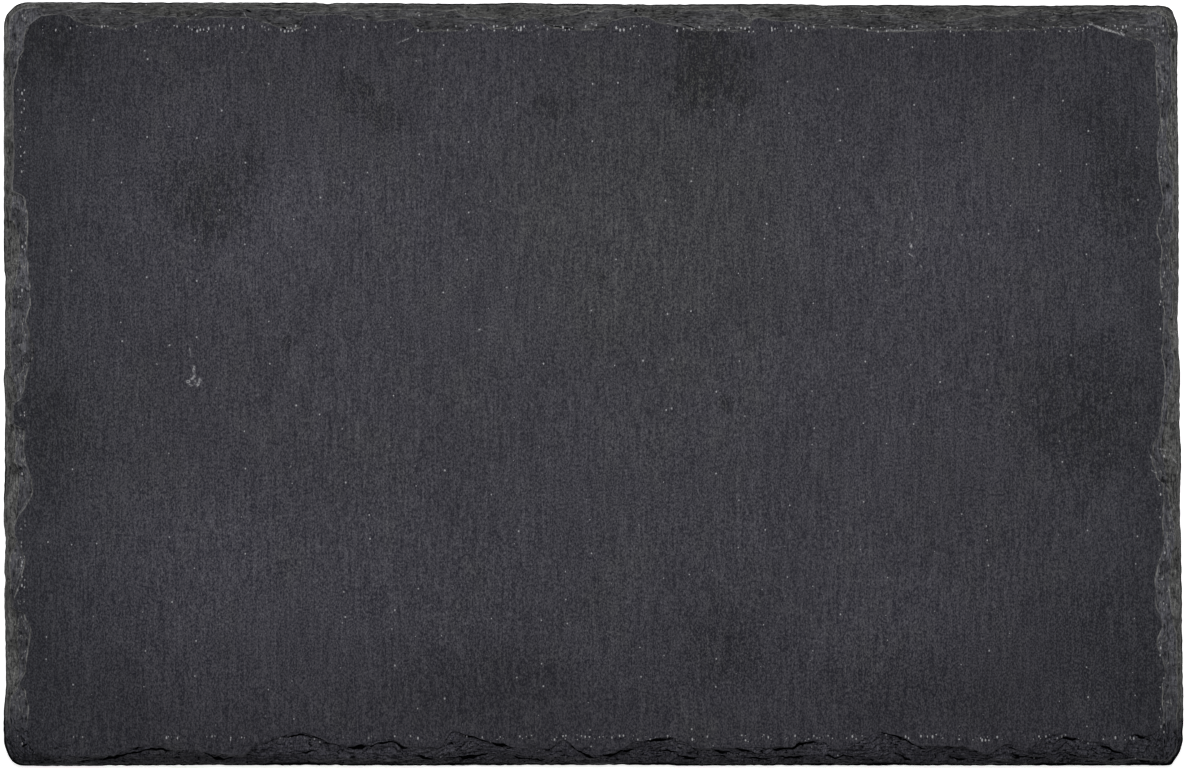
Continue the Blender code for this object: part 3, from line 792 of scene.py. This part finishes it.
# Small round drips, in the same order
DRIPS = ((0.9, 28.1, 3.2, 3.0, 0, 0.45), (34.5, -4.9, 3.2, 3.4, 0, 0.6), (-80.6, 10.7, 3.0, 3.0, 0, 0.35))
STAIN_BEND = 16.0 * MM
MOST_STAIN = 0.86
bend = add_node("TexNoise", {"Vector": place, "Scale": 1 / (8 * MM), "Detail": 4.0}, output="Color")
bend_centred = add_node("VectorMath", {0: bend, 1: (0.5, 0.5, 0.5)}, operation="SUBTRACT")
bent = add_node("VectorMath", {
    0: bend_centred, 1: (STAIN_BEND, STAIN_BEND, 0.0), 2: place}, operation="MULTIPLY_ADD")
stain_cover = weighed([(patch(source, x, y, width, height, turn, strength, 0.25), 1.0)
                       for source, table in ((bent, STAINS), (place, DRIPS))
                       for x, y, width, height, turn, strength in table])
stain_streak = add_node("MapRange", {
    0: grain_noise(0.8 * MM, 2.8 * MM, 3.0), 1: 0.34, 2: 0.60, 3: 0.15, 4: 1.45})
stain = add_node("Math", {0: stain_cover, 1: stain_streak}, operation="MULTIPLY")
stain_share = add_node("Math", {0: stain, 1: MOST_STAIN}, operation="MINIMUM")
print("stains:", len(STAINS), "and drips:", len(DRIPS))

# %% [markdown]
# Bruises are the same thing at a tenth of the size and pale: small crushed spots and short scratches,
# which noise breaks up into crumbs. A few chips and cracks near the back edge stay black.

# %% Bruises and cracks
# Bruises and scratches: (x, y, half width, half height) in millimetres, turn in degrees, strength
BRUISES = (
    (-106.4, 0.7, 0.8, 0.7, 0, 0.9), (-105.9, -0.3, 0.9, 0.4, -10, 1.0), (-105.3, 1.4, 0.9, 0.5, 40, 0.8),
    (-104.7, 2.2, 0.7, 0.7, 0, 0.7), (-104.6, 0.6, 0.5, 1.0, 0, 0.5), (-103.8, 0.0, 0.6, 1.0, -25, 0.9),
    (-103.3, 1.0, 0.6, 0.8, 0, 0.9), (-104.9, 4.0, 0.55, 1.4, 0, 1.0), (-105.9, 8.6, 0.20, 2.1, 8, 0.6),
    (-106.6, 27.5, 0.20, 3.1, 0, 0.40), (146.5, -19.5, 0.3, 1.5, 25, 0.9),
    (149.4, -17.2, 1.7, 0.35, -12, 0.9),
    (153.0, -20.3, 0.3, 2.3, 40, 0.8), (147.2, -23.0, 1.3, 0.3, -30, 0.8),
    (-111.3, 10.2, 0.45, 0.4, 0, 0.8), (-114.7, 5.2, 0.4, 0.4, 0, 0.7), (83.6, 44.1, 0.22, 1.7, 12, 0.6),
    (84.7, 40.5, 0.45, 0.4, 0, 0.8), (83.3, 36.3, 0.55, 1.1, 18, 1.0), (83.2, 33.9, 1.0, 0.3, -34, 0.8),
    (86.0, 30.8, 0.3, 0.9, 35, 0.6), (-29.9, 14.2, 0.45, 0.45, 0, 0.9), (-22.8, 25.3, 0.4, 0.4, 0, 0.8),
    (20.7, 6.5, 0.45, 0.45, 0, 0.8), (20.5, -6.4, 0.4, 0.4, 0, 0.7), (39.7, -8.5, 0.4, 0.4, 0, 0.7),
    (-131.3, 69.3, 0.45, 0.45, 0, 0.8), (-127.6, 67.2, 0.4, 0.4, 0, 0.6), (35.0, 68.2, 0.4, 0.45, 0, 0.7),
    (64.2, 77.4, 0.45, 0.45, 0, 0.8), (26.0, 56.6, 0.4, 0.4, 0, 0.7), (125.3, 7.6, 0.45, 0.4, 0, 0.7),
    (134.2, 93.2, 5.6, 0.45, -18, 1.0), (138.6, 91.9, 1.6, 0.7, -18, 0.9), (130.6, 94.6, 0.8, 0.6, 0, 0.8),
    (-146.6, 95.6, 3.4, 0.28, 40, 0.45), (-49.5, 90.3, 2.7, 0.28, 22, 0.6), (79.0, 92.9, 4.2, 0.25, 0, 0.6),
    (151.6, -57.0, 0.35, 5.6, 8, 0.6), (-91.5, 97.0, 0.25, 1.9, 30, 0.5),
)
# Chips and cracks that stay black: (x, y, half width, half height) in millimetres, turn, strength
CRACKS = (
    (-90.6, 98.0, 1.0, 0.30, -24, 1.0), (-81.1, 93.5, 0.9, 0.30, -20, 1.0), (-69.9, 99.9, 0.8, 0.45, 0, 1.0),
    (-149.4, -94.9, 1.1, 0.35, 28, 1.0), (25.5, 93.8, 3.4, 0.25, -20, 0.9), (-8.3, 93.6, 4.6, 0.25, -10, 0.9),
)
crumbs = add_node("MapRange", {
    0: grain_noise(0.42 * MM, 0.55 * MM, 2.0), 1: 0.42, 2: 0.60, 3: 0.10, 4: 1.0})
bruise_cover = weighed([(patch(place, x, y, width, height, turn, strength, 0.3), 1.0)
                        for x, y, width, height, turn, strength in BRUISES])
bruise = add_node("Math", {0: bruise_cover, 1: crumbs}, operation="MULTIPLY")
crack = weighed([(patch(place, x, y, width, height, turn, strength, 0.6), 1.0)
                 for x, y, width, height, turn, strength in CRACKS])
print("bruises:", len(BRUISES), "and cracks:", len(CRACKS))

# %% [markdown]
# The grain picks a colour between near black and a middle grey. A stain lowers it and makes it swing
# wider, so that the grain still shows in the stain. A tint drifts over it from violet to olive, and to
# a plain blue at the two ends. Clouds and streaks a few centimetres long make it paler and darker, with
# broad pale patches, and it is painted darker towards the edges, as shade.

# %% Colour of the face
swing = add_node("Math", {0: texture, 1: 0.5}, operation="SUBTRACT")
stain_swing = add_node("Math", {0: swing, 1: stain_share}, operation="MULTIPLY")
soiled = weighed(((texture, 1.0), (stain_share, -0.09), (stain_swing, 0.7)))
tone = add_node("MapRange", {0: soiled, 1: 0.37, 2: 0.64}, clamp=False)
tone_up = add_node("Math", {0: tone, 1: 0.02}, operation="MAXIMUM")
curved = add_node("Math", {0: tone_up, 1: 1.3}, operation="POWER")
DARK_FACE = to_linear("#12121c")
LIGHT_FACE = to_linear("#4a4a4e")
face_colour = add_node("Mix", {
    0: curved, 6: DARK_FACE, 7: LIGHT_FACE}, data_type="RGBA", clamp_factor=False, output=2)
hue_noise = grain_noise(13.0 * MM, 17.0 * MM, 3.0, 0.6)
olive_spots = add_node("MapRange", {0: hue_noise, 1: 0.50, 2: 0.72, 3: 0.0, 4: 0.7})
olive_share = weighed(((olive_spots, 1.0), (patch(place, 16, 44, 62, 58, 0, 0.9, 0.2), 1.0)))
purple_or_olive = add_node("Mix", {
    0: olive_share, 6: to_linear("#f8f5fb"), 7: to_linear("#f8f8f1")}, data_type="RGBA", output=2)
blue_share = add_node("MapRange", {0: from_middle, 1: 112 * MM, 2: 146 * MM, 3: 0.0, 4: 0.8})
hue = add_node("Mix", {
    0: blue_share, 6: purple_or_olive, 7: to_linear("#f5f7fb")}, data_type="RGBA", output=2)
tinted_face = add_node("Mix", {
    0: 1.0, 6: face_colour, 7: hue}, data_type="RGBA", blend_type="MULTIPLY", output=2)
cloud = grain_noise(26.0 * MM, 34.0 * MM, 3.0)
cloud_share = add_node("MapRange", {0: cloud, 1: 0.35, 2: 0.65, 3: 0.975, 4: 1.14})
long_streak = grain_noise(1.5 * MM, 16.0 * MM, 2.0)
streak_share = add_node("MapRange", {0: long_streak, 1: 0.35, 2: 0.65, 3: -0.05, 4: 0.05})
# Broad pale patches: (x, y, half width, half height) in millimetres, strength
PALE_PATCHES = (
    (-88, -52, 70, 42, 0.35), (-92, 40, 56, 34, 0.22), (96, 42, 54, 28, 0.20),
    (76, -60, 40, 34, 0.17), (-20, -48, 56, 36, 0.12), (0, 38, 140, 26, 0.05),
)
face_shade = weighed([(cloud_share, 1.0), (streak_share, 1.0)] + [
    (patch(place, x, y, width, height, 0, strength, 0.0), 1.0)
    for x, y, width, height, strength in PALE_PATCHES])
# Painted shade towards each edge: the place along one axis, where it starts to darken and stops, and the
# share left
for position, start, end, shade_left in ((from_middle, 134, 148, 0.86), (place_y, 66, 92, 0.86),
                                   (place_y, -64, -86, 0.91)):
    painted_edge_shade = add_node("MapRange", {
        0: position, 1: start * MM, 2: end * MM, 3: 1.0, 4: shade_left}, interpolation_type="SMOOTHSTEP")
    face_shade = add_node("Math", {0: face_shade, 1: painted_edge_shade}, operation="MULTIPLY")
clouded_face = add_node("VectorMath", {0: tinted_face, "Scale": face_shade}, operation="SCALE")
print("face: colours", [round(share, 4) for share in DARK_FACE[:3] + LIGHT_FACE[:3]])

# %% [markdown]
# Tiny specks are scattered over the face, about one in every square centimetre. A second kind lies in
# rows a few millimetres inside the edge, where the slab was scored before it was dressed: bunches of
# little upright ticks and small dark pits, with bare stretches between them. The bunches are scarcer at
# the short sides and at the left of the front. The specks fade out on the wall, where a flat pattern
# would stretch into streaks.

# %% Scattered specks and the scored line
SPECK_CELL = 6.5 * MM
ROW_BEND = 2.4


def specks(width, height, radius, share):
    """Small pale spots, up to a radius: one in a share of the cells of a pattern, each of its own size."""
    pattern = add_node("TexVoronoi", {
        "Vector": scaled_place(width, height, width), "Scale": 1.0}, voronoi_dimensions="2D", output=None)
    chosen = add_node("SeparateColor", {0: pattern.outputs["Color"]})
    size = add_node("MapRange", {0: chosen, 1: 1 - share, 2: 1.0, 3: 0.0, 4: radius / width})
    return add_node("MapRange", {0: pattern.outputs["Distance"], 1: size, 2: 0.0})


# Each scored line: axis that it crosses, where it runs, and half its width, in millimetres
SCORED_LINES = ((1, 93.4, 0.8), (1, -92.8, 0.6), (0, -150.0, 1.0), (0, 149.4, 1.0))
row_bend = grain_noise(7.0 * MM, 7.0 * MM, 2.0)
score = weighed([
    (add_node("Math", {
        0: weighed((((place_x, place_y)[axis], 1.0), (row_bend, ROW_BEND * MM))),
        1: (line + ROW_BEND / 2) * MM, 2: half_width * MM}, operation="COMPARE"), 1.0)
    for axis, line, half_width in SCORED_LINES])
short_side = add_node("MapRange", {0: from_middle, 1: 143 * MM, 2: 148 * MM})
bare_stretch = patch(place, -92, -92, 64, 20, 0, 1.0, 0.6)
bunch_noise = weighed((
    (grain_noise(4.5 * MM, 4.5 * MM, 2.0), 1.0), (short_side, -0.15), (bare_stretch, -0.09)))
bunches = add_node("MapRange", {0: bunch_noise, 1: 0.38, 2: 0.50})
scored = add_node("Math", {0: score, 1: bunches}, operation="MULTIPLY")
scored_ticks = add_node("Math", {
    0: specks(1.0 * MM, 1.9 * MM, 0.28 * MM, 1.0), 1: scored}, operation="MULTIPLY")
scored_pits = add_node("Math", {
    0: specks(1.2 * MM, 1.1 * MM, 0.40 * MM, 0.7), 1: scored}, operation="MULTIPLY")
pale = weighed(((specks(SPECK_CELL, 1.2 * SPECK_CELL, 0.30 * MM, 0.42), 1.1), (scored_ticks, 1.8),
                (bruise, 0.75)))
above_wall = add_node("MapRange", {0: place_z, 1: 2.0 * MM, 2: 3.0 * MM})
pale_above = add_node("Math", {0: pale, 1: above_wall}, operation="MULTIPLY")
pale_share = add_node("Math", {0: pale_above, 1: 0.8}, operation="MINIMUM")
print("specks in cells of", round(SPECK_CELL / MM, 1), "mm and", len(SCORED_LINES), "scored lines")

# %% [markdown]
# The broken edge differs from side to side. The two short sides and the back are a fresh, greyish
# break, streaked along the edge, with strata that show as level lines; the short sides are the palest.
# Past the middle ledge the stone is a shade bluer, and whole facets of it are lighter or darker. The
# front broke along old joints: there it takes the face's own colour, with painted shade darkening it
# towards the outline.

# %% The broken edge
share = add_node("Attribute", attribute_name="share", output="Fac")
broken = add_node("MapRange", {0: share, 1: 1.0, 2: 2.0, 3: 1.0, 4: 0.0})
front_side = add_node("MapRange", {
    0: place_y, 1: -85 * MM, 2: -91 * MM})
not_front = add_node("Math", {0: 1.0, 1: front_side}, operation="SUBTRACT")


def edge_noise(length, width, detail):
    """Noise whose grain runs along the edge: along X at the back and front, along Y at the short sides."""
    return add_node("Mix", {
        0: short_side, 2: grain_noise(length, width, detail), 3: grain_noise(width, length, detail)})


LEDGE_BEND = 1.2
strata = add_node("TexNoise", {
    "Vector": scaled_place(4.0 * MM, 4.0 * MM, 0.16 * MM), "Scale": 1.0, "Detail": 3.0,
    "Roughness": 0.6}, output="Fac")
mottle = grain_noise(0.7 * MM, 0.7 * MM, 3.0, 0.65)
break_texture = weighed(((strata, 0.28), (mottle, 0.42), (edge_noise(3.0 * MM, 0.32 * MM, 2.0), 0.30)))
break_tone = add_node("MapRange", {0: break_texture, 1: 0.40, 2: 0.60})
back_break = add_node("Mix", {
    0: break_tone, 6: to_linear("#151515"), 7: to_linear("#4b4b4a")}, data_type="RGBA", output=2)
side_break = add_node("Mix", {
    0: break_tone, 6: to_linear("#1f1f1f"), 7: to_linear("#656564")}, data_type="RGBA", output=2)
outer_break = add_node("Mix", {
    0: short_side, 6: back_break, 7: side_break}, data_type="RGBA", output=2)
inner_back = add_node("Mix", {
    0: break_tone, 6: to_linear("#151517"), 7: to_linear("#464649")}, data_type="RGBA", output=2)
inner_side = add_node("Mix", {
    0: break_tone, 6: to_linear("#202024"), 7: to_linear("#59595f")}, data_type="RGBA", output=2)
inner_break = add_node("Mix", {
    0: short_side, 6: inner_back, 7: inner_side}, data_type="RGBA", output=2)
past_ledge = add_node("Attribute", attribute_name="past_ledge", output="Fac")
ledge_place = weighed(((past_ledge, 1.0), (grain_noise(2.4 * MM, 2.4 * MM, 3.0), LEDGE_BEND)))
inner_zone = add_node("MapRange", {0: ledge_place, 1: 0.52, 2: 0.68})
zoned_break = add_node("Mix", {
    0: inner_zone, 6: outer_break, 7: inner_break}, data_type="RGBA", output=2)
facet_shade = add_node("MapRange", {
    0: edge_noise(10.0 * MM, 3.5 * MM, 1.0), 1: 0.34, 2: 0.66, 3: 0.72, 4: 1.28})
fresh_break = add_node("VectorMath", {0: zoned_break, "Scale": facet_shade}, operation="SCALE")
joint_tone = add_node("MapRange", {0: break_texture, 1: 0.38, 2: 0.62, 3: 0.45, 4: 1.95})
# Painted shade: the front break darkens towards the outline.
joint_painted_shade = add_node("MapRange", {
    0: place_y, 1: -96.8 * MM, 2: -100.6 * MM, 3: 1.0, 4: 0.45})
joint_shade = add_node("Math", {0: joint_tone, 1: joint_painted_shade}, operation="MULTIPLY")
old_joint = add_node("VectorMath", {0: clouded_face, "Scale": joint_shade}, operation="SCALE")
break_colour = add_node("Mix", {
    0: front_side, 6: fresh_break, 7: old_joint}, data_type="RGBA", output=2)
print("with the broken edge:", len(tree.nodes), "nodes")

# %% [markdown]
# Flaking leaves fine curved ridges, painted pale as highlights, and thin black slits between them, painted
# as cracks with their shadow. Both are contour lines of one wide noise: wherever the noise passes a
# level, it draws a line, and a second noise rubs parts of the lines out. The front has a net of finer
# slits, painted shadow from a noise of its own.

# %% Ridges and slits
bands_of_noise = add_node("Math", {0: edge_noise(9.0 * MM, 2.2 * MM, 3.0), 1: 9.0}, operation="MULTIPLY")
contour = add_node("Math", {0: bands_of_noise}, operation="FRACT")
ridge_line = add_node("Math", {0: contour, 1: 0.25, 2: 0.09}, operation="COMPARE")
slit_line = add_node("Math", {0: contour, 1: 0.70, 2: 0.10}, operation="COMPARE")
rubbed = add_node("MapRange", {
    0: grain_noise(3.2 * MM, 3.2 * MM, 2.0), 1: 0.47, 2: 0.58})
whole = add_node("Math", {0: 1.0, 1: rubbed}, operation="SUBTRACT")
ridge = add_node("Math", {0: ridge_line, 1: rubbed}, operation="MULTIPLY")
slit = add_node("Math", {0: slit_line, 1: whole}, operation="MULTIPLY")
broken_ridge = add_node("Math", {0: ridge, 1: broken}, operation="MULTIPLY")
broken_slit = add_node("Math", {0: slit, 1: broken}, operation="MULTIPLY")
net_noise = add_node("Math", {0: edge_noise(7.0 * MM, 1.3 * MM, 3.0), 1: 5.0}, operation="MULTIPLY")
net_contour = add_node("Math", {0: net_noise}, operation="FRACT")
net_line = add_node("Math", {0: net_contour, 1: 0.50, 2: 0.13}, operation="COMPARE")
front_net = add_node("Math", {0: net_line, 1: rubbed}, operation="MULTIPLY")
# Painted shadow: the net of fine black lines, only at the front.
net_depth = add_node("MapRange", {
    0: place_y, 1: -93.5 * MM, 2: -96.0 * MM, 3: 0.0, 4: 0.65})
front_net_shadow = add_node("Math", {0: front_net, 1: net_depth}, operation="MULTIPLY")
# Slits are painted black as cracks with their shadow, darkest at the front.
slit_depth = add_node("MapRange", {0: front_side, 1: 0.0, 2: 1.0, 3: 0.6, 4: 0.9})
slit_and_shadow = add_node("Math", {0: broken_slit, 1: slit_depth}, operation="MULTIPLY")
print("with the ridges and slits:", len(tree.nodes), "nodes")

# %% [markdown]
# What is painted pale, as wear and highlight, is laid on first: proud lips, the arris of the face, the
# ledge's brow and the ridges, everywhere but at the front, and stronger on the short sides. What is
# black comes last, so that it stays black: painted shade in the foot of each step and in a line along
# the rim at the floor, clefts and slits with their painted shadow, and cracks. Where the stone is black
# it doesn't shine either. A faint bump lets the grain catch the light.

# %% Face, edge, lips and feet together
proud = add_node("Attribute", attribute_name="proud", output="Fac")
cleft_and_shadow = add_node("Attribute", attribute_name="cleft_and_shadow", output="Fac")
stained_face = add_node("Mix", {
    0: stain_share, 6: clouded_face, 7: to_linear("#dcdfd0")},
    data_type="RGBA", blend_type="MULTIPLY", output=2)
stone = add_node("Mix", {0: broken, 6: stained_face, 7: break_colour}, data_type="RGBA", output=2)
# Painted highlight, with wear: proud lips, the arris and the ledge's brow are painted pale.
lip_share = add_node("MapRange", {0: proud, 1: 0.03, 2: 0.16, 3: 0.0, 4: 0.45})
brow_patches = add_node("MapRange", {
    0: grain_noise(5.0 * MM, 5.0 * MM, 2.0), 1: 0.38, 2: 0.52, 3: 0.0, 4: 0.9})
brow_line = add_node("Math", {0: share, 1: 1.3, 2: 0.34}, operation="COMPARE")
ledge_line = add_node("Math", {0: ledge_place, 1: LEDGE_BEND / 2, 2: 0.09}, operation="COMPARE")
arris_lines = weighed(((brow_line, 0.75), (ledge_line, 0.6)))
arris_highlight = add_node("Math", {0: arris_lines, 1: brow_patches}, operation="MULTIPLY")
line_strength = add_node("MapRange", {0: short_side, 1: 0.0, 2: 1.0, 3: 0.40, 4: 0.90})
# Painted highlight on the ridges, stronger on the short sides.
ridge_highlight = add_node("Math", {0: broken_ridge, 1: line_strength}, operation="MULTIPLY")
side_arris = add_node("Math", {0: arris_highlight, 1: line_strength}, operation="MULTIPLY")
rough_lip = weighed(((lip_share, 1.0), (ridge_highlight, 1.0), (side_arris, 0.7)))
crumbed_lip = add_node("Math", {0: rough_lip, 1: crumbs}, operation="MULTIPLY")
edge_lip = weighed(((crumbed_lip, 1.0), (side_arris, 0.6)))
side_lip = add_node("Math", {0: edge_lip, 1: not_front}, operation="MULTIPLY")
lip_wear_and_highlight = add_node("Math", {0: side_lip, 1: 0.8}, operation="MINIMUM")
lipped = add_node("Mix", {
    0: lip_wear_and_highlight, 6: stone, 7: to_linear("#868683")}, data_type="RGBA", output=2)
# Painted shade: dark in the foot of each step.
foot_painted_shade = add_node("MapRange", {0: proud, 1: -0.03, 2: -0.13, 3: 0.0, 4: 0.85})
# Painted shade: a dark line along the rim at the head of the wall, a little wider at the front.
rim_place = weighed(((share, 1.0), (front_side, -0.04)))
rim_depth = add_node("MapRange", {
    0: place_z, 1: 1.6 * MM, 2: 2.1 * MM, 3: 0.15, 4: 0.9})
rim_line = add_node("MapRange", {0: rim_place, 1: 0.10, 2: 0.04})
rim_painted_shade = add_node("Math", {0: rim_line, 1: rim_depth}, operation="MULTIPLY")
# Painted shadow: the black cleft at the foot of each front step, with its crack.
cleft_painted_shadow = add_node("MapRange", {0: cleft_and_shadow, 1: -0.06, 2: 0.05})
black_share = 0.0
for darkness in (foot_painted_shade, rim_painted_shade, cleft_painted_shadow, slit_and_shadow, front_net_shadow, crack, scored_pits):
    black_share = add_node("Math", {0: black_share, 1: darkness}, operation="MAXIMUM")
cracks_and_shade = add_node("Mix", {0: black_share, 6: lipped, 7: to_linear("#030304")}, data_type="RGBA", output=2)
colour = add_node("Mix", {
    0: pale_share, 6: cracks_and_shade, 7: to_linear("#a9a9ac")}, data_type="RGBA", output=2)

print("with the lips and feet:", len(tree.nodes), "nodes")

# %% Surface of the stone
bump = add_node("Bump", {"Height": mottle, "Strength": 0.6, "Distance": 0.05 * MM})
shine = add_node("MapRange", {0: black_share, 1: 0.0, 2: 0.8, 3: 0.22, 4: 0.0})
surface = add_node("BsdfPrincipled", {
    "Base Color": colour, "Roughness": 0.74, "IOR": 1.5, "Specular IOR Level": shine, "Normal": bump})
add_node("OutputMaterial", {"Surface": surface}, output=None)
slab_data.materials.append(slate)
print("riven slate:", len(tree.nodes), "nodes")

# %% [markdown]
# ## Floor, light and camera
#
# The slab lies face up on a plain white floor and is seen from straight above, through a long lens. A
# softbox hangs over it, a little towards the back, so that the face is brightest near its middle. A
# second softbox stands low behind the back edge: each riser of the front edge turns away from it and
# goes dark. The world fills the rest evenly, and the floor glows faintly, as a light table does.

# %% Floor
floor_mesh = bmesh.new()
bmesh.ops.create_grid(floor_mesh, x_segments=1, y_segments=1, size=3.0)
floor_data = bpy.data.meshes.new("pale_floor")
floor_mesh.to_mesh(floor_data)
floor_mesh.free()
floor = bpy.data.objects.new("pale_floor", floor_data)
bpy.context.scene.collection.objects.link(floor)
paper = bpy.data.materials.new("white_paper")
paper.use_nodes = True
paper_shader = paper.node_tree.nodes["Principled BSDF"]
paper_shader.inputs["Base Color"].default_value = to_linear("#f7f7f7")
paper_shader.inputs["Roughness"].default_value = 0.9
paper_shader.inputs["Emission Color"].default_value = (1.0, 1.0, 1.0, 1.0)
paper_shader.inputs["Emission Strength"].default_value = 0.8
floor_data.materials.append(paper)
print("floor:", floor.name, "in", paper.name)

# %% Lights
# Each softbox: height above the floor, distance behind the slab's middle, width, depth and power
SOFTBOXES = {
    "overhead_softbox": (0.22, 0.03, 0.42, 0.12, 0.56),
    "back_softbox": (0.65, 1.05, 0.50, 0.50, 8.0),
}
for name, (height, behind, width, depth, power) in SOFTBOXES.items():
    light_data = bpy.data.lights.new(name, "AREA")
    light_data.shape = "RECTANGLE"
    light_data.size = width
    light_data.size_y = depth
    light_data.energy = power
    light = bpy.data.objects.new(name, light_data)
    bpy.context.scene.collection.objects.link(light)
    light.location = (0.0, behind, height)
    light.rotation_euler = (light.location * -1).to_track_quat("-Z", "Y").to_euler()
    light.visible_camera = False
print("lights:", ", ".join(SOFTBOXES))
sky = bpy.data.worlds.new("even_fill")
sky.use_nodes = True
sky.node_tree.nodes["Background"].inputs["Color"].default_value = (1.0, 1.0, 1.0, 1.0)
sky.node_tree.nodes["Background"].inputs["Strength"].default_value = 0.15
bpy.context.scene.world = sky
bpy.context.scene.view_settings.view_transform = "Standard"

# %% Camera
FRAME_PIXELS_WIDE = 1187
SLAB_PIXELS_WIDE = 1180.1
LENS = 120.0
OUTLINE_LEVEL = 1.7 * MM
camera_data = bpy.data.cameras.new("camera")
camera_data.lens = LENS
view_width = SLAB_LENGTH * FRAME_PIXELS_WIDE / SLAB_PIXELS_WIDE
camera = bpy.data.objects.new("camera", camera_data)
camera.location = (0.0, 0.0, view_width * LENS / camera_data.sensor_width + OUTLINE_LEVEL)
bpy.context.scene.collection.objects.link(camera)
bpy.context.scene.camera = camera
print("camera:", round(camera.location.z, 3), "m above the floor")

# %% [markdown]
# ## Hand the piece over
#
# The slab stands for the plain solid in the frame and takes its place on the same body.

# %% Ride, replace and finish
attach(slab, "root")
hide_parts("slate_slab")
